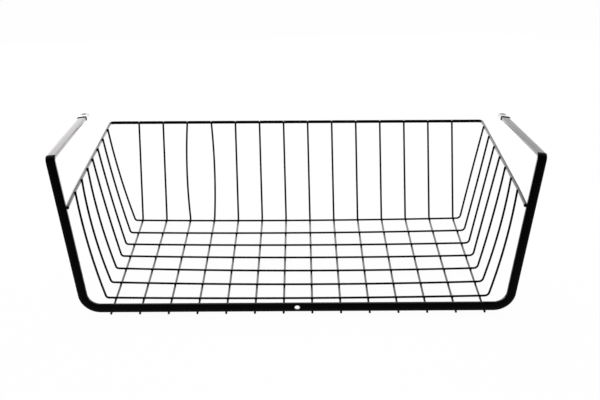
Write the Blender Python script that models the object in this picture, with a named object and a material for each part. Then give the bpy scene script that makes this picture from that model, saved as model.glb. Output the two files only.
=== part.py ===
"""Under shelf basket: a welded wire basket hung from a flat steel front frame.

Metres, +Z up. +X runs to the right, +Y to the back. The origin is under the middle of the basket, level with
the underside of the floor wires. The front frame is one flat strip: left arm, left upright, bottom run, right
upright and right arm. The arms slide over a shelf board, which lies between them and the rim of the basket.
"""

from math import cos, pi, radians, sin, tan

import bmesh
import bpy
from mathutils import Matrix, Vector

# Round wires
wire_diameter = 0.0020
rim_diameter = 0.0032
weld_gap = 0.0003                      # space left where two pieces are welded to each other

# Front frame
strip_width = 0.0080
strip_thickness = 0.0030
strip_edge_radius = 0.0010
frame_foot_half_width = 0.1866         # from the middle to where the upright's line meets the bottom run's
frame_corner_radius = 0.015            # of the strip's middle line
upright_length = 0.1429                # from that meeting point to the start of the upper bend
upright_splay = radians(6.0)           # outwards from vertical
frame_lean = radians(5.6)              # forwards from vertical
left_arm_bend_angle = radians(99.7)
right_arm_bend_angle = radians(100.6)
arm_bend_inner_radius = 0.002
arm_length = 0.151                     # from the end of the bend
left_arm_skew = radians(-1.2)          # of the bend line; a positive one brings the tip towards the middle
right_arm_skew = radians(0.3)
hole_diameter = 0.0046

# Arm caps
cap_length = 0.0163
cap_wall = 0.0005
cap_end_wall = 0.0013
cap_clearance = 0.00025

# Floor grid: cross wires run from side to side, long wires from back to front below them
floor_inset = 0.0136                   # from the frame's foot to the lower corner of the cross wires
cross_wire_count = 7
cross_wire_pitch = 0.0303
cross_wire_left_corner_radius = 0.003
cross_wire_right_corner_radius = 0.0042
cross_wire_overrun = 0.0012            # above the middle of the side rails
front_cross_wire_setback = 0.0275      # from the front of the frame to the nearest cross wire
long_wire_count = 14
long_wire_margin = 0.0079              # from the cross wires' lower corner to the outermost long wire
long_wire_foot_spread_share = 1.006    # of the long wires' pitch in front, at the foot of the back wall
long_wire_top_spread_share = 0.992     # and at the back rail
long_wire_front_shift = 0.0007         # to the right of the middle
long_wire_foot_shift = 0.0014
long_wire_top_shift = -0.0007
long_wire_tip_setback = 0.0004         # from the front of the frame to the cut ends
long_wire_overrun = 0.0008             # above the middle of the back rail
long_wire_bend_radius = 0.005
long_wire_sideways_bends = {3: -0.0021, 4: 0.0018}        # at mid height of the back wall
back_wall_foot_setback = 0.0050        # behind the rearmost cross wire

# How each cross wire strays from its even place, back to front, in shares of the pitch. The feet and tops are
# moved backwards, the floor bows forwards, the whole wire is moved to the right, and the walls bow outwards.
cross_wire_stray_shares = (
    # left foot, right foot, left top, right top, floor bow, shift, left wall bow, right wall bow
    (-0.03, 0.02, -0.23, -0.07, 0.11, 0.04, 0.06, -0.01),
    (-0.12, -0.07, -0.26, -0.12, 0.12, 0.03, 0.04, 0.01),
    (-0.09, -0.13, -0.25, -0.14, 0.12, 0.02, 0.03, 0),
    (-0.03, -0.12, -0.22, -0.15, 0.14, 0.01, 0.03, 0),
    (0.04, -0.08, -0.08, -0.10, 0.18, -0.01, 0.08, 0.04),
    (0.04, -0.04, -0.04, -0.05, 0.17, -0.01, 0.10, 0.08),
    (0, 0, -0.07, -0.04, 0.10, 0.01, 0.08, 0.08),
)

# Rim
rim_height = 0.1023                    # above the cross wires of the floor
rim_inset = 0.0033                     # from the middle of each upright to its side rail
rim_flare = 0.0013                     # of each side rail, outwards towards the back
back_rail_setback = 0.2293             # from the front of the frame
rim_corner_radius = 0.0045
rim_end_radius = 0.0032
rim_end_reach = 0.0055                 # of each turned end, outwards from the side rail

# Fineness of the solids
wire_side_resolution = 2               # 8 sides
rim_side_resolution = 3                # 10 sides
wire_bend_steps = 5
strip_edge_segments = 3
strip_corner_steps = 10
arm_bend_steps = 8
wall_spans = 4
floor_spans = 6
hole_sides = 24
cut_overrun = 0.002
merge_distance = 0.00001

# Heights and depths that follow from the sizes above
wire_radius = wire_diameter / 2
rim_radius = rim_diameter / 2
long_wire_level = wire_radius
cross_wire_level = long_wire_level + wire_diameter + weld_gap
rim_level = cross_wire_level + rim_height
strip_foot_reach = (
    (strip_width / 2 - strip_edge_radius) * cos(frame_lean)
    + (strip_thickness / 2 - strip_edge_radius) * sin(frame_lean)
    + strip_edge_radius
)
strip_level = long_wire_level + wire_radius + weld_gap + strip_foot_reach
frame_top_level = strip_level + upright_length * cos(upright_splay) * cos(frame_lean)
frame_forward_reach = (frame_top_level - cross_wire_level) * tan(frame_lean)
front = (frame_forward_reach - back_rail_setback - rim_radius) / 2
back_rail_place = front + back_rail_setback
rear_cross_wire_place = front + front_cross_wire_setback + (cross_wire_count - 1) * cross_wire_pitch

# Widths that follow from the front frame
rim_reach_up_frame = (rim_level - strip_level) / cos(frame_lean)
rim_half_front = frame_foot_half_width + rim_reach_up_frame * tan(upright_splay) - rim_inset
rim_half_back = rim_half_front + rim_flare
floor_half_width = frame_foot_half_width - floor_inset
long_wire_pitch = 2 * (floor_half_width - long_wire_margin) / (long_wire_count - 1)

# Directions of the leaning front frame
across = Vector((1, 0, 0))
frame_up = Vector((0, -sin(frame_lean), cos(frame_lean)))
frame_back = Vector((0, cos(frame_lean), sin(frame_lean)))


def clear_scene():
    """Removes whatever the scene holds."""
    for thing in list(bpy.data.objects):
        bpy.data.objects.remove(thing, do_unlink=True)


def new_collection(name):
    """Adds a collection to the scene."""
    collection = bpy.data.collections.new(name)
    bpy.context.scene.collection.children.link(collection)
    return collection


def new_material(name, colour, roughness, metallic):
    """A plain material with one colour."""
    material = bpy.data.materials.new(name)
    material.use_nodes = True
    shader = material.node_tree.nodes["Principled BSDF"]
    shader.inputs["Base Color"].default_value = colour
    shader.inputs["Roughness"].default_value = roughness
    shader.inputs["Metallic"].default_value = metallic
    return material


def add_object(name, data, material, collection):
    """Makes an object of a mesh or curve and puts it in a collection."""
    thing = bpy.data.objects.new(name, data)
    data.materials.append(material)
    collection.objects.link(thing)
    return thing


def rounded_path(corners):
    """Turns (point, radius) corners into path points, with an arc where the radius isn't zero."""
    points = [corners[0][0]]
    for (before, _), (corner, radius), (after, _) in zip(corners, corners[1:], corners[2:]):
        if not radius:
            points.append(corner)
            continue
        back = (before - corner).normalized()
        ahead = (after - corner).normalized()
        half_turn = (pi - back.angle(ahead)) / 2
        centre = corner + (back + ahead).normalized() * radius / cos(half_turn)
        start = corner + back * radius * tan(half_turn)
        axis = back.cross(ahead).normalized()
        for step in range(wire_bend_steps + 1):
            turn = Matrix.Rotation(-2 * half_turn * step / wire_bend_steps, 3, axis)
            points.append(centre + turn @ (start - centre))
    points.append(corners[-1][0])
    return points


def add_wire(name, points, diameter, resolution, material, collection):
    """A round wire along a path, with closed ends."""
    curve = bpy.data.curves.new(name, "CURVE")
    curve.dimensions = "3D"
    curve.bevel_depth = diameter / 2
    curve.bevel_resolution = resolution
    curve.use_fill_caps = True
    spline = curve.splines.new("POLY")
    spline.points.add(len(points) - 1)
    for place, point in zip(spline.points, points):
        place.co = (*point, 1)
    return add_object(name, curve, material, collection)


def rail_half_width(depth):
    """Half the distance between the side rails at a depth, given as a Y position."""
    share = (depth - front) / back_rail_setback
    return rim_half_front + (rim_half_back - rim_half_front) * share


def add_rim_wire(material, collection):
    """Left rail, back rail and right rail in one, with both front ends turned out behind the uprights."""
    seat = (strip_thickness + weld_gap + rim_radius) / cos(frame_lean)
    end_place = front + seat - rim_height * tan(frame_lean)
    half_front = rail_half_width(end_place)
    corners = []
    for side in (-1, 1):
        turned_end = Vector((side * (half_front + rim_end_reach), end_place, rim_level))
        front_corner = Vector((side * half_front, end_place, rim_level))
        back_corner = Vector((side * rim_half_back, back_rail_place, rim_level))
        half = [(turned_end, 0), (front_corner, rim_end_radius), (back_corner, rim_corner_radius)]
        corners += half if side < 0 else half[::-1]
    path = rounded_path(corners)
    return add_wire("rim_wire", path, rim_diameter, rim_side_resolution, material, collection)


def add_cross_wire(number, material, collection):
    """A wide U: up the left wall, across the floor and up the right wall. Number 1 is the rearmost."""
    index = number - 1
    even_place = rear_cross_wire_place - index * cross_wire_pitch
    stray = [share * cross_wire_pitch for share in cross_wire_stray_shares[index]]
    left_foot, right_foot, left_top, right_top, floor_bow, shift, left_bow, right_bow = stray
    top_level = rim_level + cross_wire_overrun
    rail_seat = (rim_radius + wire_radius + weld_gap) / cos(upright_splay)
    walls = {}
    for side, foot_stray, top_stray, wall_bow in (
        (-1, left_foot, left_top, left_bow), (1, right_foot, right_top, right_bow),
    ):
        foot = Vector((shift + side * floor_half_width, even_place + foot_stray, cross_wire_level))
        top_place = even_place + top_stray
        top = Vector((side * (rail_half_width(top_place) - rail_seat), top_place, top_level))
        walls[side] = [foot]
        for span in range(1, wall_spans + 1):
            share = span / wall_spans
            bow = across * side * wall_bow * 4 * share * (1 - share)
            walls[side].append(foot.lerp(top, share) + bow)
    left_corner, right_corner = walls[-1][0], walls[1][0]
    corners = [(point, 0) for point in walls[-1][:0:-1]] + [(left_corner, cross_wire_left_corner_radius)]
    for span in range(1, floor_spans):
        share = span / floor_spans
        bow = Vector((0, -floor_bow * 4 * share * (1 - share), 0))
        corners.append((left_corner.lerp(right_corner, share) + bow, 0))
    corners += [(right_corner, cross_wire_right_corner_radius)] + [(point, 0) for point in walls[1][1:]]
    name = f"cross_wire_{number}"
    return add_wire(name, rounded_path(corners), wire_diameter, wire_side_resolution, material, collection)


def add_long_wire(number, material, collection):
    """An L: from under the front frame back along the floor and up the back wall. Number 1 is leftmost."""
    step = number - (long_wire_count + 1) / 2
    front_place = long_wire_front_shift + step * long_wire_pitch
    foot_place = long_wire_foot_shift + step * long_wire_pitch * long_wire_foot_spread_share
    top_place = long_wire_top_shift + step * long_wire_pitch * long_wire_top_spread_share
    foot_depth = rear_cross_wire_place + back_wall_foot_setback
    wall_height = rim_level - long_wire_level
    rail_seat = rim_radius + wire_radius + weld_gap
    top_depth = back_rail_place - rail_seat
    lean = (top_depth - foot_depth) / wall_height
    top_depth = back_rail_place - rail_seat * (1 + lean * lean) ** 0.5
    tip = Vector((front_place, front + long_wire_tip_setback, long_wire_level))
    foot = Vector((foot_place, foot_depth, long_wire_level))
    seat = Vector((top_place, top_depth, rim_level))
    middle = (foot + seat) / 2 + across * long_wire_sideways_bends.get(number, 0)
    end = seat + (seat - middle).normalized() * long_wire_overrun
    corners = [(tip, 0), (foot, long_wire_bend_radius), (middle, 0), (end, 0)]
    name = f"long_wire_{number:02d}"
    return add_wire(name, rounded_path(corners), wire_diameter, wire_side_resolution, material, collection)


def strip_outline(mesh, width, thickness, edge_radius, frame):
    """A rounded rectangle as a ring of edges: width along the frame's X, thickness along its Y."""
    made = bmesh.ops.create_grid(mesh, x_segments=1, y_segments=1, size=1)
    bmesh.ops.scale(mesh, vec=(width / 2, thickness / 2, 1), verts=made["verts"])
    rounded = bmesh.ops.bevel(
        mesh, geom=made["verts"], offset=edge_radius, offset_type="OFFSET", segments=strip_edge_segments,
        profile=0.5, affect="VERTICES",
    )
    face = next(face for face in mesh.faces if all(vertex in face.verts for vertex in rounded["verts"]))
    ring = list(face.edges)
    vertices = list(face.verts)
    bmesh.ops.delete(mesh, geom=[face], context="FACES_ONLY")
    bmesh.ops.transform(mesh, matrix=frame, verts=vertices)
    return ring


class StripEnd:
    """The open end of a strip that is being bent: its ring of edges, its place and its heading."""

    def __init__(self, mesh, ring, place, heading):
        self.mesh = mesh
        self.ring = ring
        self.place = place.copy()
        self.heading = heading.copy()
        self.turned = Matrix.Identity(3)

    def run(self, length):
        """Lengthens the strip straight ahead."""
        step = self.heading * length
        made = bmesh.ops.extrude_edge_only(self.mesh, edges=self.ring)["geom"]
        vertices = [item for item in made if isinstance(item, bmesh.types.BMVert)]
        bmesh.ops.translate(self.mesh, vec=step, verts=vertices)
        self.ring = [
            item for item in made
            if isinstance(item, bmesh.types.BMEdge) and all(vertex in vertices for vertex in item.verts)
        ]
        self.place += step

    def bend(self, towards, radius, angle, steps, skew):
        """Bends the strip towards a direction; skew turns the bend line within the strip's face."""
        square_axis = self.heading.cross(towards).normalized()
        axis = square_axis * cos(skew) + self.heading * sin(skew)
        centre = self.place + towards * radius
        vertices = list({vertex for edge in self.ring for vertex in edge.verts})
        made = bmesh.ops.spin(
            self.mesh, geom=vertices + self.ring, cent=centre, axis=axis, angle=angle, steps=steps,
            use_duplicate=False,
        )["geom_last"]
        self.ring = [item for item in made if isinstance(item, bmesh.types.BMEdge)]
        turn = Matrix.Rotation(angle, 3, axis)
        self.place = centre + turn @ (self.place - centre)
        self.heading = turn @ self.heading
        self.turned = turn @ self.turned


def add_front_frame(material, collection, cutters):
    """The bent flat strip with its hole. Also returns the placing matrix of each arm's end."""
    mesh = bmesh.new()
    foot_reach = (strip_level - cross_wire_level) * tan(frame_lean)
    middle = Vector((0, front + strip_thickness / 2 / cos(frame_lean) - foot_reach, strip_level))
    section = Matrix((frame_up, frame_back, across)).transposed().to_4x4()
    section.translation = middle
    arm_ends = {}
    corner_angle = pi / 2 - upright_splay
    corner_cut = frame_corner_radius * tan(corner_angle / 2)
    for side, arm_angle, skew in (
        (-1, left_arm_bend_angle, -left_arm_skew), (1, right_arm_bend_angle, right_arm_skew),
    ):
        ring = strip_outline(mesh, strip_width, strip_thickness, strip_edge_radius, section)
        strip = StripEnd(mesh, ring, middle, across * side)
        strip.run(frame_foot_half_width - corner_cut)
        strip.bend(frame_up, frame_corner_radius, corner_angle, strip_corner_steps, 0)
        strip.run(upright_length - corner_cut)
        strip.bend(
            frame_back, arm_bend_inner_radius + strip_thickness / 2, arm_angle, arm_bend_steps, skew,
        )
        strip.run(arm_length)
        bmesh.ops.edgeloop_fill(mesh, edges=strip.ring)
        top = strip.turned @ -frame_back
        placing = Matrix((strip.heading.cross(top), top, -strip.heading)).transposed().to_4x4()
        placing.translation = strip.place
        arm_ends[side] = placing
    bmesh.ops.remove_doubles(mesh, verts=mesh.verts, dist=merge_distance)
    bmesh.ops.recalc_face_normals(mesh, faces=mesh.faces)
    data = bpy.data.meshes.new("front_frame")
    mesh.to_mesh(data)
    mesh.free()
    frame = add_object("front_frame", data, material, collection)

    bpy.ops.mesh.primitive_cylinder_add(
        vertices=hole_sides, radius=hole_diameter / 2, depth=strip_thickness + cut_overrun,
        location=middle, rotation=(pi / 2 + frame_lean, 0, 0),
    )
    cutter = bpy.context.object
    cutter.name = "hole_cutter"
    cutter.hide_render = True
    cutter.display_type = "WIRE"
    for home in list(cutter.users_collection):
        home.objects.unlink(cutter)
    cutters.objects.link(cutter)
    cut = frame.modifiers.new("hole", "BOOLEAN")
    cut.operation = "DIFFERENCE"
    cut.object = cutter
    data.shade_smooth()
    data.set_sharp_from_angle(angle=radians(30))
    return frame, arm_ends


def add_arm_cap(name, placing, material, collection):
    """A sleeve, closed at its far end, over the end of an arm, which ends at the placing matrix's origin."""
    mesh = bmesh.new()
    mouth_place = Vector((0, 0, cap_length - cap_end_wall - cap_clearance))
    rings = {}
    for depth, spare in ((cap_length, cap_clearance + cap_wall), (cap_length - cap_end_wall, cap_clearance)):
        rings[depth] = strip_outline(
            mesh, strip_width + 2 * spare, strip_thickness + 2 * spare, strip_edge_radius + spare,
            Matrix.Translation(mouth_place),
        )
    bmesh.ops.bridge_loops(mesh, edges=[edge for ring in rings.values() for edge in ring])
    for depth, ring in rings.items():
        sleeve = StripEnd(mesh, ring, mouth_place, Vector((0, 0, -1)))
        sleeve.run(depth)
        bmesh.ops.edgeloop_fill(mesh, edges=sleeve.ring)
    bmesh.ops.recalc_face_normals(mesh, faces=mesh.faces)
    data = bpy.data.meshes.new(name)
    mesh.to_mesh(data)
    mesh.free()
    cap = add_object(name, data, material, collection)
    cap.matrix_world = placing
    data.shade_smooth()
    data.set_sharp_from_angle(angle=radians(40))
    return cap


def build():
    """Builds the whole basket."""
    clear_scene()
    parts = new_collection("under_shelf_basket")
    cutters = new_collection("cutters")
    black_coat = new_material("black_coat", (0.006, 0.006, 0.007, 1), 0.18, 0.0)
    clear_plastic = new_material("clear_plastic", (0.78, 0.78, 0.76, 1), 0.25, 0.0)
    arm_ends = add_front_frame(black_coat, parts, cutters)[1]
    add_arm_cap("arm_cap_left", arm_ends[-1], clear_plastic, parts)
    add_arm_cap("arm_cap_right", arm_ends[1], clear_plastic, parts)
    add_rim_wire(black_coat, parts)
    for number in range(1, cross_wire_count + 1):
        add_cross_wire(number, black_coat, parts)
    for number in range(1, long_wire_count + 1):
        add_long_wire(number, black_coat, parts)


build()
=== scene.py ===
"""Under shelf basket: the looks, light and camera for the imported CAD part.

Each piece stands for the CAD node in its name and follows the same sizes. It adds what the plain solid leaves out:
round wires, coated cut ends, the lips of the moulded caps and the finish of each surface. The weld beads are the only
pieces that stand for no node. Metres, +Z up, +X to the right and +Y to the back, as in the CAD.
"""

import logging
from dataclasses import dataclass
from enum import Enum
from math import cos, pi, radians, sin, sqrt, tan

import bmesh
import bpy
from bpy.types import Material, Mesh, Node, NodeOutputs, NodeSocket, NodeTree, Object
from mathutils import Matrix, Vector


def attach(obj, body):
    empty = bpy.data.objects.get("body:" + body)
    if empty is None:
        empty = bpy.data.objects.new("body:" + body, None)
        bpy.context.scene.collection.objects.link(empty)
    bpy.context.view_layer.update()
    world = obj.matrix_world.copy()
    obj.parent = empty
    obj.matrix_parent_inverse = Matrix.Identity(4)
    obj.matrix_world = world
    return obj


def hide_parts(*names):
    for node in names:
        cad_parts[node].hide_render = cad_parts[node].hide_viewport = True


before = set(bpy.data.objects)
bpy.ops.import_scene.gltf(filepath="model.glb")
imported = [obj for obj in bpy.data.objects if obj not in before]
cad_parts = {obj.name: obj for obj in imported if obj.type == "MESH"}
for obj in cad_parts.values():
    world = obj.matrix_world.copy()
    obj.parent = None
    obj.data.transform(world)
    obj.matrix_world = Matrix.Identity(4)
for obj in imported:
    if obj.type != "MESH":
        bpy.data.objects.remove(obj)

log = logging.getLogger("under_shelf_basket")

Colour = tuple[float, float, float, float]
Triple = tuple[float, float, float]
Span = tuple[float, float]
Line = list[Vector]
Corner = tuple[Vector, float]
Pair = tuple[Vector, Vector]

BODY = "root"
ACROSS = Vector((1, 0, 0))
UP = Vector((0, 0, 1))
WHITE: Colour = (1, 1, 1, 1)
WARM_PINK: Triple = (1.0, 0.955, 0.965)


class Side(Enum):
    """The two sides of the basket, by the sign of their X."""

    LEFT = -1
    RIGHT = 1


class Slot(Enum):
    """The record's material slots."""

    COAT = "black_coat"
    PLASTIC = "clear_plastic"


@dataclass(frozen=True)
class BasketSizes:
    """The driving sizes of the basket, the same as the CAD's."""

    wire_diameter: float = 0.0020
    rim_diameter: float = 0.0032
    weld_gap: float = 0.0003
    strip_width: float = 0.0080
    strip_thickness: float = 0.0030
    strip_edge_radius: float = 0.0010
    frame_foot_half_width: float = 0.1866
    frame_corner_radius: float = 0.015
    upright_length: float = 0.1429
    upright_splay: float = radians(6.0)
    frame_lean: float = radians(5.6)
    left_arm_bend_angle: float = radians(99.7)
    right_arm_bend_angle: float = radians(100.6)
    arm_bend_inner_radius: float = 0.002
    arm_length: float = 0.151
    left_arm_skew: float = radians(-1.2)
    right_arm_skew: float = radians(0.3)
    hole_diameter: float = 0.0046
    floor_inset: float = 0.0136
    cross_wire_count: int = 7
    cross_wire_pitch: float = 0.0303
    front_cross_wire_setback: float = 0.0275
    long_wire_count: int = 14
    long_wire_margin: float = 0.0079
    rim_height: float = 0.1023
    rim_inset: float = 0.0033
    rim_flare: float = 0.0013
    back_rail_setback: float = 0.2293

    @property
    def wire_radius(self) -> float:
        """Half the thin wires' diameter."""
        return self.wire_diameter / 2

    @property
    def rim_radius(self) -> float:
        """Half the rim wire's diameter."""
        return self.rim_diameter / 2

    @property
    def long_wire_level(self) -> float:
        """Height of the long wires' middle line on the floor."""
        return self.wire_radius

    @property
    def cross_wire_level(self) -> float:
        """Height of the cross wires' middle line on the floor."""
        return self.long_wire_level + self.wire_diameter + self.weld_gap

    @property
    def rim_level(self) -> float:
        """Height of the rim wire's middle line."""
        return self.cross_wire_level + self.rim_height

    @property
    def strip_level(self) -> float:
        """Height of the bottom run's middle line."""
        edge = self.strip_edge_radius
        reach = (self.strip_width / 2 - edge) * cos(self.frame_lean)
        reach += (self.strip_thickness / 2 - edge) * sin(self.frame_lean) + edge
        return self.long_wire_level + self.wire_radius + self.weld_gap + reach

    @property
    def front(self) -> float:
        """Y of the front frame's face at the height of the cross wires."""
        top = self.strip_level + self.upright_length * cos(self.upright_splay) * cos(self.frame_lean)
        forward = (top - self.cross_wire_level) * tan(self.frame_lean)
        return (forward - self.back_rail_setback - self.rim_radius) / 2

    @property
    def strip_place(self) -> float:
        """Y of the strip's middle at the height of the cross wires."""
        return self.front + self.strip_thickness / 2 / cos(self.frame_lean)

    @property
    def foot_reach(self) -> float:
        """How far the strip leans forward from the cross wires' height to its own middle line."""
        return (self.strip_level - self.cross_wire_level) * tan(self.frame_lean)

    @property
    def back_rail_place(self) -> float:
        """Y of the back rail's middle line."""
        return self.front + self.back_rail_setback

    @property
    def rear_cross_wire_place(self) -> float:
        """Y of the rearmost cross wire's even place."""
        return self.front + self.front_cross_wire_setback + (self.cross_wire_count - 1) * self.cross_wire_pitch

    @property
    def floor_half_width(self) -> float:
        """Half the distance between the cross wires' lower corners."""
        return self.frame_foot_half_width - self.floor_inset

    @property
    def long_wire_pitch(self) -> float:
        """Distance between neighbouring long wires in front."""
        return 2 * (self.floor_half_width - self.long_wire_margin) / (self.long_wire_count - 1)

    @property
    def frame_up(self) -> Vector:
        """Upwards along the leaning front frame."""
        return Vector((0, -sin(self.frame_lean), cos(self.frame_lean)))

    @property
    def frame_back(self) -> Vector:
        """Backwards, square to the leaning front frame."""
        return Vector((0, cos(self.frame_lean), sin(self.frame_lean)))

    def rail_half_width(self, depth: float) -> float:
        """Gives half the distance between the side rails.

        Args:
            depth: The Y position.

        Returns:
            The half width in metres.
        """
        rise = (self.rim_level - self.strip_level) / cos(self.frame_lean)
        front = self.frame_foot_half_width - self.rim_inset + rise * tan(self.upright_splay)
        return front + self.rim_flare * (depth - self.front) / self.back_rail_setback


# Finishes


class NodeBench:
    """Adds nodes to a tree and joins them up."""

    def __init__(self, tree: NodeTree) -> None:
        """Keeps the tree that it works on."""
        self.tree = tree

    def add(self, kind: str, inputs: dict | None = None, **settings: object) -> Node:
        """Adds one node.

        Args:
            kind: Blender's name for the node's type.
            inputs: Values or output sockets for its inputs, by socket name or number.
            **settings: Properties of the node itself, set before its inputs.

        Returns:
            The new node.
        """
        node = self.tree.nodes.new(kind)
        for name, value in settings.items():
            setattr(node, name, value)
        for key, value in (inputs or {}).items():
            if isinstance(value, NodeSocket):
                self.tree.links.new(value, node.inputs[key])
            else:
                node.inputs[key].default_value = value
        return node

    def maths(self, operation: str, first: object, second: object = 0.0, clamp: bool = False) -> NodeSocket:
        """Adds a maths node for two values or sockets and gives its result, held between 0 and 1 if clamped."""
        node = self.add("ShaderNodeMath", {0: first, 1: second}, operation=operation, use_clamp=clamp)
        return node.outputs[0]

    def seen_white(self) -> NodeSocket:
        """Tells the rays that show a background from those that carry its light.

        Returns:
            A socket that is 1 for camera, glossy and transmission rays and 0 for the others.
        """
        rays = self.add("ShaderNodeLightPath").outputs
        seen = self.maths("MAXIMUM", rays["Is Camera Ray"], rays["Is Glossy Ray"])
        return self.maths("MAXIMUM", seen, rays["Is Transmission Ray"])


class MaterialBench(NodeBench):
    """Builds a material from nodes."""

    def __init__(self, name: str) -> None:
        """Starts an empty material.

        Args:
            name: The material's name.
        """
        self.material = bpy.data.materials.new(name)
        self.material.use_nodes = True
        self.material.node_tree.nodes.clear()
        super().__init__(self.material.node_tree)

    def noise(self, scale: float, detail: float) -> NodeSocket:
        """Adds noise that keeps to the piece's own coordinates, and gives its strength."""
        place = self.add("ShaderNodeTexCoord").outputs["Object"]
        return self.add("ShaderNodeTexNoise", {"Vector": place, "Scale": scale, "Detail": detail}).outputs["Fac"]

    def mix(self, share: NodeSocket, first: object, second: object) -> NodeSocket:
        """Mixes two colours or sockets by the share of the second one."""
        return self.add("ShaderNodeMix", {0: share, 6: first, 7: second}, data_type="RGBA").outputs[2]

    def remap(self, value: NodeSocket, old: Span, new: Span) -> NodeSocket:
        """Stretches one span of values onto another, and holds the rest at its ends."""
        inputs = dict(zip(("Value", "From Min", "From Max", "To Min", "To Max"), (value, *old, *new)))
        return self.add("ShaderNodeMapRange", inputs).outputs["Result"]

    def bump(self, height: NodeSocket, strength: float, depth: float) -> NodeSocket:
        """Raises the surface by a pattern that is so many metres deep, and gives its normal."""
        inputs = {"Strength": strength, "Distance": depth, "Height": height}
        return self.add("ShaderNodeBump", inputs).outputs["Normal"]

    def finished(self, kind: str, inputs: dict) -> Material:
        """Puts the last shader on the surface and gives the material."""
        self.add("ShaderNodeOutputMaterial", {"Surface": self.add(kind, inputs).outputs[0]})
        return self.material


def grey(level: float) -> Colour:
    """Gives a plain grey."""
    return level, level, level, 1


@dataclass(frozen=True)
class BlackCoat:
    """Smooth glossy black coat on steel, with the faint orange peel and uneven gloss of a baked coat."""

    name: str
    dark: Colour = grey(0.0002)
    worn: Colour = (0.0009, 0.0009, 0.00095, 1)
    sheen: Colour = grey(0.02)
    roughness: Span = (0.10, 0.18)
    refraction: float = 1.36
    peel_size: float = 0.0013
    peel_depth: float = 0.000004
    peel_strength: float = 0.5
    cloud_size: float = 0.018
    cloud_span: Span = (0.3, 0.7)
    specks_per_peel: float = 2.6
    speck_span: Span = (0.66, 0.74)
    speck_wear: float = 0.6

    def material(self) -> Material:
        """Builds the coat's material.

        Returns:
            The material.
        """
        bench = MaterialBench(self.name)
        specks = bench.noise(self.specks_per_peel / self.peel_size, detail=1.0)
        worn = bench.remap(specks, self.speck_span, (0.0, self.speck_wear))
        share = bench.maths("MAXIMUM", bench.noise(1 / self.cloud_size, detail=4.0), worn, clamp=True)
        peel = bench.noise(1 / self.peel_size, detail=2.0)
        return bench.finished("ShaderNodeBsdfPrincipled", {
            "Base Color": bench.mix(share, self.dark, self.worn),
            "Roughness": bench.remap(share, self.cloud_span, self.roughness),
            "IOR": self.refraction,
            "Specular Tint": self.sheen,
            "Normal": bench.bump(peel, self.peel_strength, self.peel_depth),
        })


@dataclass(frozen=True)
class ClearPlastic:
    """Soft clear plastic, a little cloudy, as dipped or moulded end caps are, with painted shade: near black where the
    cap is marked.
    """

    name: str = "clear_plastic"
    clear: Colour = grey(0.38)
    cloudy: Colour = (0.50, 0.50, 0.49, 1)
    # edge: painted shade, the near black mixed in where a cap is marked, for a shadow line at the lip and the black arm
    # seen through the plastic
    edge: Colour = grey(0.03)
    clearness: float = 0.25
    refraction: float = 1.34
    roughness: Span = (0.10, 0.30)
    ripple_size: float = 0.0035
    ripple_depth: float = 0.00001
    ripple_strength: float = 0.6
    hazes_per_ripple: float = 0.4
    haze_span: Span = (0.35, 0.65)

    def material(self) -> Material:
        """Builds the plastic's material.

        Returns:
            The material.
        """
        bench = MaterialBench(self.name)
        haze = bench.noise(self.hazes_per_ripple / self.ripple_size, detail=5.0)
        ripple = bench.noise(1 / self.ripple_size, detail=3.0)
        # Painted shade: the marked places get the near black colour and full roughness, standing in for shadow and for
        # the black arm seen through the plastic
        edge = bench.add("ShaderNodeAttribute", attribute_name="painted_edge_shade").outputs["Fac"]
        return bench.finished("ShaderNodeBsdfPrincipled", {
            "Base Color": bench.mix(edge, bench.mix(haze, self.clear, self.cloudy), self.edge),
            "Roughness": bench.maths("MAXIMUM", bench.remap(haze, self.haze_span, self.roughness), edge),
            "IOR": self.refraction,
            "Transmission Weight": self.clearness,
            "Normal": bench.bump(ripple, self.ripple_strength, self.ripple_depth),
        })


@dataclass(frozen=True)
class PaleFloor:
    """Pale floor that shows white to the camera and in reflections, and keeps part of each shadow."""

    name: str = "pale_floor"
    tone: Colour = grey(0.86)
    white_share: float = 0.95
    grain_scale: float = 40.0

    def material(self) -> Material:
        """Builds the floor's material.

        Returns:
            The material.
        """
        bench = MaterialBench(self.name)
        grain = bench.add("ShaderNodeTexNoise", {"Scale": self.grain_scale, "Detail": 3.0}).outputs["Fac"]
        matt = bench.add("ShaderNodeBsdfDiffuse", {"Color": bench.mix(grain, self.tone, WHITE)})
        glow = bench.add("ShaderNodeEmission", {"Color": WHITE, "Strength": 1.0})
        share = bench.maths("MULTIPLY", bench.seen_white(), self.white_share)
        return bench.finished("ShaderNodeMixShader", {0: share, 1: matt.outputs[0], 2: glow.outputs[0]})


# Paths, meshes and pieces


def quarter_turns(steps: int) -> list[float]:
    """Gives the angles of a quarter turn in even steps, with both ends."""
    return [step * pi / 2 / steps for step in range(steps + 1)]


def straight(points: Line) -> list[Corner]:
    """Makes corners without an arc from points."""
    return [(point, 0) for point in points]


def bowed_line(start: Vector, end: Vector, spans: int, bow: Vector) -> Line:
    """Gives the points of a line that bows.

    Args:
        start: The line's first point.
        end: The line's last point.
        spans: The number of spans between its points.
        bow: How far its middle is moved.

    Returns:
        The points, with both ends.
    """
    shares = [span / spans for span in range(spans + 1)]
    return [start.lerp(end, share) + bow * 4 * share * (1 - share) for share in shares]


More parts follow.
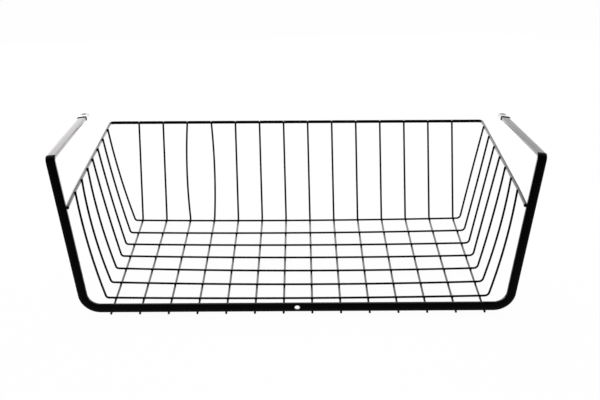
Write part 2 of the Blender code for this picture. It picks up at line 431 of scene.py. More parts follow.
def rounded_path(corners: list[Corner], steps: int = 12) -> Line:
    """Turns corners into the points of a path, with an arc at each corner that has a radius.

    Args:
        corners: (point, radius) of each corner.
        steps: The arc's number of steps.

    Returns:
        The path's points.
    """
    points = [corners[0][0]]
    for (before, _), (corner, radius), (after, _) in zip(corners, corners[1:], corners[2:]):
        if not radius:
            points.append(corner)
            continue
        back = (before - corner).normalized()
        ahead = (after - corner).normalized()
        half_turn = (pi - back.angle(ahead)) / 2
        centre = corner + (back + ahead).normalized() * radius / cos(half_turn)
        start = corner + back * radius * tan(half_turn)
        axis = back.cross(ahead).normalized()
        for step in range(steps + 1):
            turn = Matrix.Rotation(-2 * half_turn * step / steps, 3, axis)
            points.append(centre + turn @ (start - centre))
    points.append(corners[-1][0])
    return points


def with_close_ends(points: Line, reach: float, rings: int = 4) -> Line:
    """Adds points near both ends of a path, so that its cut ends can be rounded.

    Args:
        points: The path's points.
        reach: How far from each end the rounding goes.
        rings: How many points each end gets.

    Returns:
        The longer list of points.
    """
    steps = [reach * (number / rings) ** 2 for number in range(1, rings + 1)]
    ahead = (points[1] - points[0]).normalized()
    back = (points[-2] - points[-1]).normalized()
    first = [points[0] + ahead * step for step in steps]
    last = [points[-1] + back * step for step in reversed(steps)]
    return [points[0], *first, *points[1:-1], *last, points[-1]]


def facing_out(mesh: Mesh, merge: float = 1e-7) -> Mesh:
    """Merges doubled points of a closed mesh and turns its faces outwards.

    Args:
        mesh: The mesh to clean.
        merge: Points closer than this become one.

    Returns:
        The same mesh.
    """
    work = bmesh.new()
    work.from_mesh(mesh)
    bmesh.ops.remove_doubles(work, verts=work.verts, dist=merge)
    bmesh.ops.recalc_face_normals(work, faces=work.faces)
    work.to_mesh(mesh)
    work.free()
    return mesh


def lofted_mesh(name: str, rings: list[Line]) -> Mesh:
    """Joins rings of points into a closed skin, with a face over both ends.

    Args:
        name: The mesh's name.
        rings: Rings with the same number of points each, in order.

    Returns:
        The mesh, its faces outwards and smooth.
    """
    count = len(rings[0])
    last = (len(rings) - 1) * count
    faces: list[tuple[int, ...]] = [tuple(range(count))]
    for low in range(0, last, count):
        high = low + count
        for index in range(count):
            following = (index + 1) % count
            faces.append((low + index, low + following, high + following, high + index))
    faces.append(tuple(range(last, last + count)))
    mesh = bpy.data.meshes.new(name)
    mesh.from_pydata([point for ring in rings for point in ring], [], faces)
    facing_out(mesh)
    mesh.shade_smooth()
    return mesh


def new_object(name: str, data: bpy.types.ID) -> Object:
    """Puts a mesh, lamp or camera into the scene.

    Args:
        name: The object's name.
        data: What it holds.

    Returns:
        The object.
    """
    made = bpy.data.objects.new(name, data)
    bpy.context.scene.collection.objects.link(made)
    return made


def applied(carrier: Object) -> Mesh:
    """Turns an object with its modifiers into a plain mesh, and removes the object.

    Args:
        carrier: The object.

    Returns:
        The mesh.
    """
    source = carrier.data
    evaluated = carrier.evaluated_get(bpy.context.evaluated_depsgraph_get())
    result = bpy.data.meshes.new_from_object(evaluated)
    bpy.data.objects.remove(carrier)
    bpy.data.meshes.remove(source)
    return result


def new_piece(name: str, mesh: Mesh, slot: Slot, *nodes: str) -> Object:
    """Puts a finished mesh into the scene as a piece that rides on the basket.

    Args:
        name: The piece's name.
        mesh: Its mesh, in place.
        slot: Not used.
        *nodes: The CAD nodes that it stands for.

    Returns:
        The piece.
    """
    mesh.name = name
    piece = new_object(name, mesh)
    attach(piece, BODY)
    if nodes:
        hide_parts(*nodes)
    log.info("%s: %d faces", name, len(mesh.polygons))
    return piece


@dataclass
class Assembly:
    """A sub-assembly of the basket, with its sizes and its finish."""

    sizes: BasketSizes
    finish: Material

    def dress(self, piece: Object) -> None:
        """Gives a piece the finish, and no other."""
        piece.data.materials.clear()
        piece.data.materials.append(self.finish)


# Geometry Nodes


class ShapeTree:
    """A Geometry Nodes tree that is built in the script and run on a mesh; its inputs are named with their kinds."""

    inputs: dict[str, str] = {}

    def __init__(self, name: str) -> None:
        """Builds the tree.

        Args:
            name: The tree's name.
        """
        self.tree = bpy.data.node_groups.new(name, "GeometryNodeTree")
        self.bench = NodeBench(self.tree)
        face = self.tree.interface
        face.new_socket("Geometry", in_out="INPUT", socket_type="NodeSocketGeometry")
        self.identifiers = {
            label: face.new_socket(label, in_out="INPUT", socket_type=f"NodeSocket{kind}").identifier
            for label, kind in self.inputs.items()
        }
        face.new_socket("Geometry", in_out="OUTPUT", socket_type="NodeSocketGeometry")
        given = self.bench.add("NodeGroupInput").outputs
        real = self.bench.add("GeometryNodeRealizeInstances", {"Geometry": self.shape(given)})
        smooth = self.bench.add("GeometryNodeSetShadeSmooth", {"Geometry": real.outputs[0]})
        finish = {"Geometry": smooth.outputs[0], "Material": given["finish"]}
        dressed = self.bench.add("GeometryNodeSetMaterial", finish)
        self.bench.add("NodeGroupOutput", {"Geometry": dressed.outputs[0]})

    def shape(self, given: NodeOutputs) -> NodeSocket:
        """Adds the nodes that make the shape, and gives their last socket; each kind of tree has its own."""
        raise NotImplementedError

    def run(self, mesh: Mesh, values: dict[str, object]) -> Mesh:
        """Runs the tree on a mesh.

        Args:
            mesh: The mesh that the tree reads.
            values: A value for each named input.

        Returns:
            The result as a plain mesh.
        """
        carrier = new_object("carrier", mesh)
        modifier = carrier.modifiers.new("shape", "NODES")
        modifier.node_group = self.tree
        for label, value in values.items():
            modifier[self.identifiers[label]] = value
        return applied(carrier)


class WireTree(ShapeTree):
    """Draws a round coated wire along a path of edges, with eased cut ends and a slightly uneven coat."""

    inputs = {
        "diameter": "Float", "sides": "Int", "end_easing": "Float", "end_narrowing": "Float", "unevenness": "Float",
        "unevenness_length": "Float", "seed": "Float", "finish": "Material",
    }

    def shape(self, given: NodeOutputs) -> NodeSocket:
        """Adds the nodes that sweep a circle along the path.

        Args:
            given: The group input's sockets.

        Returns:
            The socket of the wire's mesh.
        """
        bench = self.bench
        path = bench.add("GeometryNodeMeshToCurve", {"Mesh": given["Geometry"]})
        along = bench.add("GeometryNodeSplineParameter").outputs["Length"]
        whole = bench.add("GeometryNodeSplineLength").outputs["Length"]
        left = bench.maths("SUBTRACT", whole, along)
        from_end = bench.maths("DIVIDE", bench.maths("MINIMUM", along, left), given["end_easing"], clamp=True)
        rest = bench.maths("SUBTRACT", 1.0, from_end)
        round_off = bench.maths("SQRT", bench.maths("SUBTRACT", 1.0, bench.maths("MULTIPLY", rest, rest)))
        narrowing = bench.maths("MULTIPLY", bench.maths("SUBTRACT", 1.0, round_off), given["end_narrowing"])
        eased = bench.maths("SUBTRACT", 1.0, narrowing)
        spot = bench.maths("ADD", bench.maths("DIVIDE", along, given["unevenness_length"]), given["seed"])
        noise = bench.add("ShaderNodeTexNoise", {"W": spot, "Scale": 1.0}, noise_dimensions="1D").outputs["Fac"]
        swing = bench.maths("MULTIPLY", bench.maths("SUBTRACT", noise, 0.5), given["unevenness"])
        scale = bench.maths("MULTIPLY", eased, bench.maths("ADD", swing, 1.0))
        ring = {"Resolution": given["sides"], "Radius": bench.maths("DIVIDE", given["diameter"], 2.0)}
        circle = bench.add("GeometryNodeCurvePrimitiveCircle", ring)
        swept = bench.add(
            "GeometryNodeCurveToMesh",
            {"Curve": path.outputs[0], "Profile Curve": circle.outputs["Curve"], "Scale": scale, "Fill Caps": True},
        )
        return swept.outputs[0]

    def draw(self, name: str, path: Line, **values: object) -> Mesh:
        """Draws one wire.

        Args:
            name: The name of the mesh that carries its path.
            path: Its middle line.
            **values: A value for each of the tree's inputs.

        Returns:
            The wire's closed mesh.
        """
        points = with_close_ends(path, values["end_easing"])
        mesh = bpy.data.meshes.new(name)
        mesh.from_pydata(points, [(index, index + 1) for index in range(len(points) - 1)], [])
        return facing_out(self.run(mesh, values))


class BeadTree(ShapeTree):
    """Sets a squashed weld bead on every point of a mesh, turned and sized by the points' own attributes."""

    inputs = {"size_change": "Float", "seed": "Int", "finish": "Material"}

    def shape(self, given: NodeOutputs) -> NodeSocket:
        """Adds the nodes that place the beads.

        Args:
            given: The group input's sockets.

        Returns:
            The socket of the beads as instances.
        """
        bench = self.bench
        bead = bench.add("GeometryNodeMeshIcoSphere", {"Radius": 1.0, "Subdivisions": 2})
        turn, reach = (
            bench.add("GeometryNodeInputNamedAttribute", {"Name": name}, data_type="FLOAT_VECTOR").outputs["Attribute"]
            for name in ("bead_turn", "bead_reach")
        )
        least = bench.maths("SUBTRACT", 1.0, given["size_change"])
        change = bench.add("FunctionNodeRandomValue", {2: least, 3: 1.0, "Seed": given["seed"]}, data_type="FLOAT")
        sized = bench.add("ShaderNodeVectorMath", {0: reach, "Scale": change.outputs[1]}, operation="SCALE")
        placed = bench.add(
            "GeometryNodeInstanceOnPoints",
            {
                "Points": given["Geometry"], "Instance": bead.outputs["Mesh"], "Rotation": turn,
                "Scale": sized.outputs["Vector"],
            },
        )
        return placed.outputs[0]


# Front frame and arm caps


@dataclass
class FrontFrame(Assembly):
    """The flat steel strip: both arms, both uprights and the bottom run with its hole."""

    corner_steps: int = 40
    bend_steps: int = 24
    edge_steps: int = 6
    face_steps: int = 12
    edge_round: float = 0.0004
    inner_crown: float = 0.10
    outer_crown: float = 0.36
    crown_power: int = 3
    bend_margin: float = 0.0006
    hole_lip: float = 0.00035
    hole_lip_steps: int = 6
    hole_overlap: float = 0.000002
    hole_flare: float = 0.0004
    hole_sides: int = 48
    tip_chamfer: float = 0.0003
    sharp_angle: float = radians(50)

    def outline(self, grow: float = 0.0) -> Line:
        """Gives the strip's cross section: width along X, thickness along Y.

        Args:
            grow: How far the outline is moved outwards.

        Returns:
            The points of a rectangle with round edges, whose outer face falls away a little towards its edges.
        """
        edge = self.edge_round + grow
        half_width = self.sizes.strip_width / 2 + grow
        half_thickness = self.sizes.strip_thickness / 2 + grow
        flat = half_width - edge
        points = []
        for quarter, (sign_x, sign_y) in enumerate(((1, 1), (-1, 1), (-1, -1), (1, -1))):
            centre = Vector((sign_x * flat, sign_y * (half_thickness - edge), 0))
            for turn in quarter_turns(self.edge_steps):
                turn += quarter * pi / 2
                points.append(centre + Vector((cos(turn), sin(turn), 0)) * edge)
            if sign_x == sign_y:
                for step in range(1, self.face_steps):
                    along = flat * (1 - 2 * step / self.face_steps)
                    points.append(Vector((sign_x * along, sign_y * half_thickness, 0)))
        for point in points:
            if point.y < 0:
                crown = self.inner_crown if point.x > 0 else self.outer_crown
                point.y *= 1 - crown * abs(point.x / half_width) ** self.crown_power
        return points

    def stations(self, side: Side) -> list[Matrix]:
        """Follows the strip from the middle of the bottom run to the tip of one arm.

        Args:
            side: Which arm.

        Returns:
            A matrix for each station: the section's width, its thickness and the heading as columns, and the place.
        """
        sizes = self.sizes
        first = Matrix((sizes.frame_up, sizes.frame_back, ACROSS * side.value)).transposed().to_4x4()
        first.translation = (0, sizes.strip_place - sizes.foot_reach, sizes.strip_level)
        found = [first]

        def run(*lengths: float) -> None:
            """Goes straight ahead, with a station after each length."""
            for length in lengths:
                found.append(found[-1] @ Matrix.Translation((0, 0, length)))

        def bend(towards: Vector, radius: float, angle: float, steps: int, skew: float) -> None:
            """Bends the strip.

            Args:
                towards: The direction it bends to.
                radius: The middle line's radius.
                angle: The whole turn.
                steps: The number of stations.
                skew: How far the bend line is turned within the strip's face.
            """
            start = found[-1]
            heading = start.col[2].to_3d()
            axis = heading.cross(towards).normalized() * cos(skew) + heading * sin(skew)
            centre = start.translation + towards * radius
            for step in range(1, steps + 1):
                turn = Matrix.Rotation(angle * step / steps, 4, axis)
                found.append(Matrix.Translation(centre) @ turn @ Matrix.Translation(-centre) @ start)

        corner_angle = pi / 2 - sizes.upright_splay
        corner_cut = sizes.frame_corner_radius * tan(corner_angle / 2)
        if side is Side.LEFT:
            skew, arm_angle = -sizes.left_arm_skew, sizes.left_arm_bend_angle
        else:
            skew, arm_angle = sizes.right_arm_skew, sizes.right_arm_bend_angle
        margin, beside_hole = self.bend_margin, sizes.hole_diameter
        run(beside_hole, sizes.frame_foot_half_width - corner_cut - beside_hole - margin, margin)
        bend(sizes.frame_up, sizes.frame_corner_radius, corner_angle, self.corner_steps, skew=0)
        run(margin, sizes.upright_length - corner_cut - 2 * margin, margin)
        arm_radius = sizes.arm_bend_inner_radius + sizes.strip_thickness / 2
        bend(sizes.frame_back, arm_radius, arm_angle, self.bend_steps, skew)
        run(margin, sizes.arm_length - 2 * margin - self.tip_chamfer, margin, self.tip_chamfer)
        return found

    def hole_cutter(self) -> Object:
        """Makes the tool that cuts the hole, eases both its rims and widens it backwards as punching does.

        Returns:
            The tool as an object.
        """
        station = self.stations(Side.RIGHT)[0]
        half, radius, lip = self.sizes.strip_thickness / 2, self.sizes.hole_diameter / 2, self.hole_lip
        profile = [(-half - 2 * lip, radius + lip)]
        for turn in quarter_turns(self.hole_lip_steps):
            profile.append((-half - self.hole_overlap + lip * (1 - cos(turn)), radius + lip * (1 - sin(turn))))
        profile += [(-along, across + self.hole_flare) for along, across in reversed(profile)]
        around = [2 * pi * index / self.hole_sides for index in range(self.hole_sides)]
        rings = [
            [station @ Vector((reach * cos(turn), along, reach * sin(turn))) for turn in around]
            for along, reach in profile
        ]
        return new_object("hole_cutter", lofted_mesh("hole_cutter", rings))

    def build(self) -> None:
        """Builds the strip and cuts its hole."""
        stations = self.stations(Side.LEFT)[:0:-1] + self.stations(Side.RIGHT)
        section, tip = self.outline(), self.outline(-self.tip_chamfer)
        shapes = [tip] + [section] * (len(stations) - 2) + [tip]
        rings = [[station @ point for point in shape] for station, shape in zip(stations, shapes)]
        solid = new_object("strip", lofted_mesh("strip", rings))
        cutter = self.hole_cutter()
        cut = solid.modifiers.new("hole", "BOOLEAN")
        cut.operation, cut.solver, cut.object = "DIFFERENCE", "EXACT", cutter
        mesh = applied(solid)
        bpy.data.objects.remove(cutter)
        mesh.shade_smooth()
        mesh.set_sharp_from_angle(angle=self.sharp_angle)
        self.dress(new_piece("front_frame_coated", mesh, Slot.COAT, "front_frame"))


# The cap's mouth: how far each ring lies from it, and then how far outside the inner wall or inside the lip's crest.
MOUTH_RINGS = ((0.0006, 0), (0.0002, 0.00003), (0, 0.00018))
LIP_RINGS = ((0, 0.0002), (0.0001, 0.00006), (0.0004, 0), (0.0008, 0.00004))


@dataclass
class ArmCap(Assembly):
    """A moulded sleeve over the end of one arm, with a rolled lip and a rounded closed end."""

    strip: FrontFrame
    side: Side
    reach: float = 0.01475
    end_gap: float = 0.0001
    end_wall: float = 0.0015
    end_easing: float = 0.0009
    easing_steps: int = 6
    fit: float = 0.00005
    wall: float = 0.00030
    draft: float = 0.00005
    lip_rise: float = 0.0003
    lip_foot: float = 0.0012
    # Where shade is painted on the cap: a band this long behind the mouth, and a patch this long and this half wide
    # over the arm's tip.
    painted_lip_shade: float = 0.0007
    painted_tip_shade_length: float = 0.0046
    painted_tip_shade_half_width: float = 0.0022
    shade_step: float = 0.0002

    def levels(self) -> list[Span]:
        """Gives how far along the arm and how far outside it each ring lies.

        Returns:
            The rings from the inner end out to the lip and back over the outside.
        """
        mouth, inner, outer = -self.reach, self.fit, self.fit + self.wall
        sleeve = (
            (mouth + self.lip_foot, 0.0), (mouth / 2, 0.4), (-self.painted_tip_shade_length - self.shade_step, 0.8),
            (-self.painted_tip_shade_length + self.shade_step, 0.8), (-2 * self.shade_step, 1.0), (self.shade_step, 1.0),
        )
        easing, edge = self.end_easing, outer - self.draft
        return [
            (self.end_gap, inner - self.wall), (self.end_gap, inner),
            *((mouth + along, inner + rise) for along, rise in MOUTH_RINGS),
            *((mouth + along, outer + self.lip_rise - drop) for along, drop in LIP_RINGS),
            *((along, outer - self.draft * share) for along, share in sleeve),
            *((self.end_wall - easing + easing * sin(turn), edge - easing * (1 - cos(turn)))
              for turn in quarter_turns(self.easing_steps)[1:]),
        ]

    def build(self) -> None:
        """Builds the sleeve and marks where shade is painted: a painted shadow line along its lip and a painted dark
        patch over the arm's tip, standing in for the black arm seen through the plastic.
        """
        seat = self.strip.stations(self.side)[-1]
        rings = [
            [seat @ (point + Vector((0, 0, along))) for point in self.strip.outline(grow)]
            for along, grow in self.levels()
        ]
        name = f"arm_cap_{self.side.name.lower()}"
        mesh = lofted_mesh(name, rings)
        painted_shade = mesh.attributes.new("painted_edge_shade", "FLOAT", "POINT")
        local = seat.inverted()
        for vertex, value in zip(mesh.vertices, painted_shade.data):
            # Marks the vertices that get painted shade: 1 at the lip and over the arm's tip, 0 elsewhere.
            place = local @ vertex.co
            at_lip = place.z < self.painted_lip_shade - self.reach
            along_tip = -self.painted_tip_shade_length < place.z < 0
            over_tip = along_tip and place.y < 0 and abs(place.x) < self.painted_tip_shade_half_width
            value.value = 1.0 if at_lip or over_tip else 0.0
        self.dress(new_piece(f"{name}_moulded", mesh, Slot.PLASTIC, name))


# Wires


@dataclass
class RimWire(Assembly):
    """The thick wire that is both side rails and the back rail, its ends turned out behind the uprights."""

    tree: WireTree
    corner_radius: float = 0.0045
    end_radius: float = 0.0018
    end_reach: float = 0.0055
    end_sink: float = 0.0009
    end_drop: float = 0.0005
    front_pinch: float = 0.0006
    pinch_share: float = 0.16
    straight_spans: int = 24
    back_spans: int = 40

    def path(self) -> Line:
        """Gives the rim's middle line.

        Returns:
            The points from the left turned end along the left, the back and the right side to the right turned end.
        """
        sizes = self.sizes
        seat = (sizes.strip_thickness + sizes.rim_radius) / cos(sizes.frame_lean)
        end_place = sizes.front + seat - sizes.rim_height * tan(sizes.frame_lean) - self.end_sink
        half_front = sizes.rail_half_width(end_place) - self.front_pinch
        half_back = sizes.rail_half_width(sizes.back_rail_place)
        end_level = sizes.rim_level - self.end_drop
        halves = []
        for side in (-1, 1):
            turned_end = Vector((side * (half_front + self.end_reach), end_place, end_level))
            front_corner = Vector((side * half_front, end_place, end_level))
            straight_front = Vector((side * (half_front + self.front_pinch), end_place, sizes.rim_level))
            back_corner = Vector((side * half_back, sizes.back_rail_place, sizes.rim_level))
            between = []
            for span in range(2, self.straight_spans - 1):
                share = span / self.straight_spans
                pinch = max(0.0, 1 - share / self.pinch_share)
                between.append(straight_front.lerp(back_corner, share) + (front_corner - straight_front) * pinch)
            ends = [(turned_end, 0), (front_corner, self.end_radius)]
            halves.append(ends + straight(between) + [(back_corner, self.corner_radius)])
        left, right = halves
        back = bowed_line(left[-1][0], right[-1][0], self.back_spans, Vector())[2:-2]
        return rounded_path(left + straight(back) + right[::-1])

    def build(self) -> None:
        """Draws the rim along its path."""
        mesh = self.tree.draw(
            "rim_wire", self.path(), diameter=self.sizes.rim_diameter, sides=24, end_easing=0.0007, end_narrowing=0.34,
            unevenness=0.02, unevenness_length=0.05, seed=3.5, finish=self.finish,
        )
        new_piece("rim_wire_coated", mesh, Slot.COAT, "rim_wire")


@dataclass(frozen=True)
class CrossWireStray:
    """How one cross wire strays from its even place, in shares of the pitch, as in the CAD."""

    left_foot: float
    right_foot: float
    left_top: float
    right_top: float
    floor_bow: float
    shift: float
    left_bow: float
    right_bow: float


CROSS_WIRE_STRAYS = (
    CrossWireStray(-0.03, 0.02, -0.23, -0.07, 0.11, 0.04, 0.06, -0.01),
    CrossWireStray(-0.12, -0.07, -0.26, -0.12, 0.12, 0.03, 0.04, 0.01),
    CrossWireStray(-0.09, -0.13, -0.25, -0.14, 0.12, 0.02, 0.03, 0),
    CrossWireStray(-0.03, -0.12, -0.22, -0.15, 0.14, 0.01, 0.03, 0),
    CrossWireStray(0.04, -0.08, -0.08, -0.10, 0.18, -0.01, 0.08, 0.04),
    CrossWireStray(0.04, -0.04, -0.04, -0.05, 0.17, -0.01, 0.10, 0.08),
    CrossWireStray(0, 0, -0.07, -0.04, 0.10, 0.01, 0.08, 0.08),
)

# How far the two bent long wires bow sideways in the back wall, by their numbers.
LONG_WIRE_BOWS = {3: -0.0021, 4: 0.0018}


@dataclass
class WireGrid(Assembly):
    """The thin wires: seven wide Us from rail to rail and fourteen Ls from the back rail to the front."""

    tree: WireTree
    left_corner_radius: float = 0.003
    right_corner_radius: float = 0.0042
    left_overrun: float = 0.0021
    right_overrun: float = 0.0012
    cross_sink: float = 0.0009
    long_foot_spread: float = 1.006
    long_top_spread: float = 0.992
    long_front_shift: float = 0.0007
    long_foot_shift: float = 0.0014
    long_top_shift: float = -0.0007
    long_tip_setback: float = 0.0004
    long_overrun: float = 0.0018
    long_bend_radius: float = 0.005
    back_wall_foot_setback: float = 0.0050
    wall_spans: int = 14
    floor_spans: int = 30
    cross_narrowing: float = 0.34
    long_narrowing: float = 0.12
    seed_step: float = 10.0
    long_seed: float = 100.0

    def cross_path(self, number: int) -> Line:
        """Gives a cross wire's middle line.

        Args:
            number: 1 for the rearmost wire.

        Returns:
            The points from the left rail down, across the floor and up to the right rail.
        """
        sizes, stray = self.sizes, CROSS_WIRE_STRAYS[number - 1]
        pitch = sizes.cross_wire_pitch
        even_place = sizes.rear_cross_wire_place - (number - 1) * pitch
        rail_seat = (sizes.rim_radius + sizes.wire_radius - self.cross_sink) / cos(sizes.upright_splay)
        walls = []
        for side, foot_share, top_share, bow_share, overrun in (
            (-1, stray.left_foot, stray.left_top, stray.left_bow, self.left_overrun),
            (1, stray.right_foot, stray.right_top, stray.right_bow, self.right_overrun),
        ):
            across = stray.shift * pitch + side * sizes.floor_half_width
            foot = Vector((across, even_place + foot_share * pitch, sizes.cross_wire_level))
            top_place = even_place + top_share * pitch
            half_top = sizes.rail_half_width(top_place) - rail_seat
            top = Vector((side * half_top, top_place, sizes.rim_level + overrun))
            walls.append(bowed_line(foot, top, self.wall_spans, ACROSS * side * bow_share * pitch))
        (left, *left_wall), (right, *right_wall) = walls
        floor = bowed_line(left, right, self.floor_spans, Vector((0, -stray.floor_bow * pitch, 0)))[1:-1]
        corners = straight(left_wall[::-1]) + [(left, self.left_corner_radius)] + straight(floor)
        return rounded_path(corners + [(right, self.right_corner_radius)] + straight(right_wall))

    def long_path(self, number: int) -> Line:
        """Gives a long wire's middle line.

        Args:
            number: 1 for the leftmost wire.

        Returns:
            The points from the front tip back along the floor and up to the back rail.
        """
        sizes = self.sizes
        step = (number - (sizes.long_wire_count + 1) / 2) * sizes.long_wire_pitch
        foot_depth = sizes.rear_cross_wire_place + self.back_wall_foot_setback
        wall_height = sizes.rim_level - sizes.long_wire_level
        rail_seat = sizes.rim_radius + sizes.wire_radius + sizes.weld_gap
        lean = (sizes.back_rail_place - rail_seat - foot_depth) / wall_height
        top_depth = sizes.back_rail_place - rail_seat * sqrt(1 + lean * lean) + sizes.weld_gap
        tip_depth = sizes.front + self.long_tip_setback
        tip = Vector((self.long_front_shift + step, tip_depth, sizes.long_wire_level))
        foot = Vector((self.long_foot_shift + step * self.long_foot_spread, foot_depth, sizes.long_wire_level))
        seat = Vector((self.long_top_shift + step * self.long_top_spread, top_depth, sizes.rim_level))
        floor = bowed_line(tip, foot, self.floor_spans, Vector())[:-2]
        wall = bowed_line(foot, seat, self.wall_spans, ACROSS * LONG_WIRE_BOWS.get(number, 0))[1:]
        wall.append(wall[-1] + (wall[-1] - wall[-2]).normalized() * self.long_overrun)
        return rounded_path(straight(floor) + [(foot, self.long_bend_radius)] + straight(wall))

    def cross_paths(self) -> list[Line]:
        """Gives the middle lines of all the cross wires."""
        return [self.cross_path(number) for number in range(1, self.sizes.cross_wire_count + 1)]

    def long_paths(self) -> list[Line]:
        """Gives the middle lines of all the long wires."""
        return [self.long_path(number) for number in range(1, self.sizes.long_wire_count + 1)]

    def build(self) -> None:
        """Draws all the thin wires; the long wires' ends are cut flat."""
        for label, paths, narrowing, seed in (
            ("cross_wire_{}", self.cross_paths(), self.cross_narrowing, 0.0),
            ("long_wire_{:02d}", self.long_paths(), self.long_narrowing, self.long_seed),
        ):
            for number, path in enumerate(paths, 1):
                name = label.format(number)
                mesh = self.tree.draw(
                    name, path, diameter=self.sizes.wire_diameter, sides=14, end_easing=0.00045,
                    end_narrowing=narrowing, unevenness=0.05, unevenness_length=0.012,
                    seed=seed + self.seed_step * number, finish=self.finish,
                )
                if narrowing < self.cross_narrowing:
                    for face in mesh.polygons:
                        face.use_smooth = len(face.vertices) == 4
                new_piece(f"{name}_coated", mesh, Slot.COAT, name)


# Welds


@dataclass
class Bead:
    """One weld bead: its middle, its reach along three directions, and two of those directions."""

    place: Vector
    reach: Triple
    along: Vector
    outward: Vector

    def turn(self) -> Vector:
        """Gives the bead's turn as Euler angles, with X along the first direction and Z along the second.

        Returns:
            The three angles.
        """
        first = self.along.normalized()
        third = (self.outward - first * self.outward.dot(first)).normalized()
        return Vector(Matrix((first, third.cross(first), third)).transposed().to_euler("XYZ"))


def closest_points(piece: Pair, other: Pair, parallel: float = 1e-18) -> Pair:
    """Finds the nearest points of two straight pieces.

    Args:
        piece: Start and end of the first piece.
        other: Start and end of the second piece.
        parallel: Below this spread the pieces count as parallel.

    Returns:
        The point on the first piece and the point on the second.
    """
    (start, end), (begin, finish) = piece, other
    way, other_way, gap = end - start, finish - begin, start - begin
    a, b, c = way.dot(way), way.dot(other_way), other_way.dot(other_way)
    d, e = way.dot(gap), other_way.dot(gap)
    spread = a * c - b * b
    share = 0.0 if spread < parallel else min(1.0, max(0.0, (b * e - c * d) / spread))
    other_share = min(1.0, max(0.0, (b * share + e) / c))
    share = min(1.0, max(0.0, (b * other_share - d) / a))
    return start + way * share, begin + other_way * other_share


def crossing_bead(path: Line, other: Line, reach: Triple, search: float = 0.06) -> Bead:
    """Makes the bead where two wires pass closest to each other.

    Args:
        path: Points of the first wire.
        other: Points of the second wire.
        reach: The bead's reach.
        search: Pieces of the two wires that start further apart than this are left out.

    Returns:
        The bead, along the first wire and facing the second.
    """
    found = (
        (*closest_points(piece, facing), piece[1] - piece[0])
        for piece in zip(path, path[1:]) for facing in zip(other, other[1:])
        if abs(piece[0].x - facing[0].x) + abs(piece[0].y - facing[0].y) <= search
    )
    first, second, way = min(found, key=lambda points: (points[1] - points[0]).length)
    return Bead((first + second) / 2, reach, way, second - first)


@dataclass
class Welds(Assembly):
    """The weld beads where wires cross, where they meet the rails, and where the frame is joined on."""

    tree: BeadTree
    grid: WireGrid
    rim: RimWire
    floor_reach: Triple = (0.00125, 0.00115, 0.00062)
    cross_end_reach: Triple = (0.0017, 0.0011, 0.0008)
    long_end_reach: Triple = (0.0010, 0.0011, 0.0009)
    strip_reach: Triple = (0.0012, 0.0010, 0.0006)
    corner_reach: Triple = (0.0021, 0.0019, 0.0019)
    upright_reach: Triple = (0.0026, 0.0018, 0.0007)
    corner_shift: float = 0.0021
    upright_sink: float = 0.0002
    size_change: float = 0.14

    def floor_beads(self) -> list[Bead]:
        """Gives a bead for each crossing of a cross wire and a long wire on the floor."""
        others = self.grid.long_paths()
        return [crossing_bead(path, other, self.floor_reach) for path in self.grid.cross_paths() for other in others]

    def rail_beads(self) -> list[Bead]:
        """Joins the ends of the thin wires to the rim.

        Returns:
            A bead for each end.
        """
        rim = self.rim.path()
        ends = [end for path in self.grid.cross_paths() for end in (path[:3], path[-3:])]
        beads = [crossing_bead(end, rim, self.cross_end_reach) for end in ends]
        return beads + [crossing_bead(path[-4:], rim, self.long_end_reach) for path in self.grid.long_paths()]

    def frame_beads(self) -> list[Bead]:
        """Joins the long wires and the rim to the front frame.

        Returns:
            A bead under the bottom run for each long wire, and two behind each upright.
        """
        sizes, back, rim = self.sizes, self.sizes.frame_back, self.rim.path()
        under = sizes.long_wire_level + sizes.wire_radius + sizes.weld_gap / 2
        depth = sizes.strip_place + sizes.foot_reach / 2
        places = [Vector((path[0].x, depth, under)) for path in self.grid.long_paths()]
        beads = [Bead(place, self.strip_reach, ACROSS, UP) for place in places]
        for end, inward in ((rim[0], rim[1]), (rim[-1], rim[-2])):
            corner = inward + (inward - end).normalized() * self.corner_shift
            middle = end.lerp(inward, 0.5) - back * (sizes.rim_radius - self.upright_sink)
            beads.append(Bead(corner, self.corner_reach, ACROSS, back))
            beads.append(Bead(middle, self.upright_reach, ACROSS, back))
        return beads

    def build(self) -> None:
        """Builds the three groups of beads."""
        groups = (
            ("floor_welds", self.floor_beads()), ("rail_welds", self.rail_beads()), ("frame_welds", self.frame_beads()),
        )
        for seed, (name, beads) in enumerate(groups):
            points = bpy.data.meshes.new(name)
            points.from_pydata([bead.place for bead in beads], [], [])
            turns, reaches = [bead.turn() for bead in beads], [bead.reach for bead in beads]
            for label, vectors in (("bead_turn", turns), ("bead_reach", reaches)):
                attribute = points.attributes.new(label, "FLOAT_VECTOR", "POINT")
                attribute.data.foreach_set("vector", [number for vector in vectors for number in vector])
            values = {"size_change": self.size_change, "seed": seed, "finish": self.finish}
            new_piece(name, self.tree.run(points, values), Slot.COAT)


# Studio


@dataclass(frozen=True)
class SoftLamp:
    """A flat soft lamp: where it hangs, where it points, its width and height and how bright its face is."""

    name: str
    place: Triple
    target: Triple
    size: Span
    brightness: float
    tint: Triple = (1.0, 1.0, 1.0)

    def light(self) -> None:
        """Hangs the lamp."""
        width, height = self.size
        data = bpy.data.lights.new(self.name, "AREA")
        data.shape = "RECTANGLE"
        data.size, data.size_y = width, height
        data.energy = self.brightness * pi * width * height
        data.color = self.tint
        lamp = new_object(self.name, data)
        lamp.location = self.place
        lamp.rotation_mode = "QUATERNION"
        lamp.rotation_quaternion = (Vector(self.target) - Vector(self.place)).to_track_quat("-Z", "Y")
        lamp.visible_camera = False


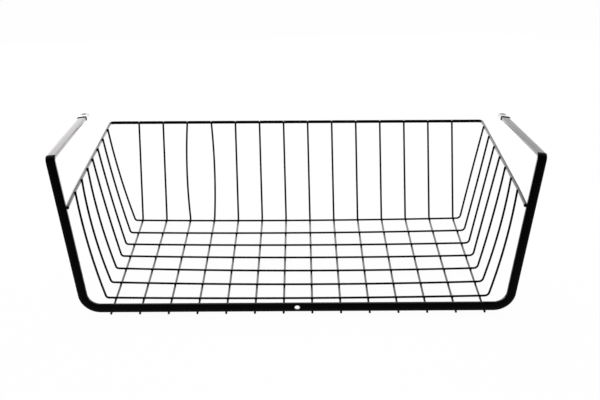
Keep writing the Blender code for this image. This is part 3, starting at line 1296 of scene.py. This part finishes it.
LAMPS = (
    SoftLamp("back_soft_lamp", (-0.16, 0.90, 0.32), (-0.08, 0, 0.14), (1.04, 0.6), brightness=1.5, tint=WARM_PINK),
    SoftLamp("left_back_lamp", (-0.42, 0.89, 0.52), (-0.20, 0, 0.12), (0.36, 0.24), brightness=1.0),
    SoftLamp("low_back_lamp", (0.10, 0.20, 0.065), (0.10, 0, 0.065), (0.72, 0.128), brightness=1.35),
    SoftLamp("right_back_lamp", (0.47, 0.90, 0.32), (0.27, 0, 0.14), (0.22, 0.6), brightness=0.25),
    SoftLamp("top_soft_lamp", (-0.2, -0.2, 1.4), (0, 0, 0), (1.2, 1.2), brightness=0.6),
)


@dataclass
class Studio:
    """The pale floor, the white surroundings, the soft lamps and the camera."""

    floor: PaleFloor
    floor_reach: float = 6.0
    floor_drop: float = 0.0001
    surround_light: float = 0.80
    eye: Triple = (-0.0001, -0.93367, 0.43650)
    pitch: float = radians(21.678)
    yaw: float = radians(0.203)
    roll: float = radians(-0.225)
    lens: float = 63.0
    sensor_width: float = 36.0

    def lay_floor(self) -> None:
        """Lays the floor under the basket."""
        reach, level = self.floor_reach, -self.floor_drop
        corners = [(-reach, -reach, level), (reach, -reach, level), (reach, reach, level), (-reach, reach, level)]
        mesh = bpy.data.meshes.new("floor")
        mesh.from_pydata(corners, [], [(0, 1, 2, 3)])
        mesh.materials.append(self.floor.material())
        floor = new_object("floor", mesh)

    def surround(self) -> None:
        """Makes the world white where it is seen, and a soft even light elsewhere."""
        world = bpy.data.worlds.new("studio")
        bpy.context.scene.world = world
        world.use_nodes = True
        world.node_tree.nodes.clear()
        bench = NodeBench(world.node_tree)
        lift = bench.maths("MULTIPLY", bench.seen_white(), 1 - self.surround_light)
        strength = bench.maths("ADD", lift, self.surround_light)
        glow = bench.add("ShaderNodeBackground", {"Color": WHITE, "Strength": strength})
        bench.add("ShaderNodeOutputWorld", {"Surface": glow.outputs[0]})

    def set_camera(self) -> None:
        """Sets the camera at the photograph's viewing angle."""
        data = bpy.data.cameras.new("camera")
        data.sensor_fit = "HORIZONTAL"
        data.sensor_width = self.sensor_width
        data.lens = self.lens
        camera = new_object("camera", data)
        place = Matrix.Translation(self.eye)
        for angle, axis in ((-self.yaw, "Z"), (pi / 2 - self.pitch, "X"), (self.roll, "Z")):
            place @= Matrix.Rotation(angle, 4, axis)
        camera.matrix_world = place
        bpy.context.scene.camera = camera

    def build(self) -> None:
        """Sets up the whole studio."""
        self.lay_floor()
        self.surround()
        for lamp in LAMPS:
            lamp.light()
        self.set_camera()
        bpy.context.scene.view_settings.view_transform = "Standard"


def main() -> None:
    """Builds the basket's pieces and the studio."""
    logging.basicConfig(level=logging.INFO, format="%(message)s")
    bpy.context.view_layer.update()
    sizes = BasketSizes()
    strip_coat = BlackCoat("black_strip_coat").material()
    wire_coat = BlackCoat("black_wire_coat", peel_size=0.0009, cloud_size=0.012).material()
    plastic = ClearPlastic().material()

    front_frame = FrontFrame(sizes, strip_coat)
    front_frame.build()
    for side in Side:
        ArmCap(sizes, plastic, front_frame, side).build()
    wire_tree = WireTree("coated_wire")
    rim = RimWire(sizes, wire_coat, wire_tree)
    rim.build()
    grid = WireGrid(sizes, wire_coat, wire_tree)
    grid.build()
    Welds(sizes, wire_coat, BeadTree("weld_beads"), grid, rim).build()
    Studio(PaleFloor()).build()


if __name__ == "__main__":
    main()
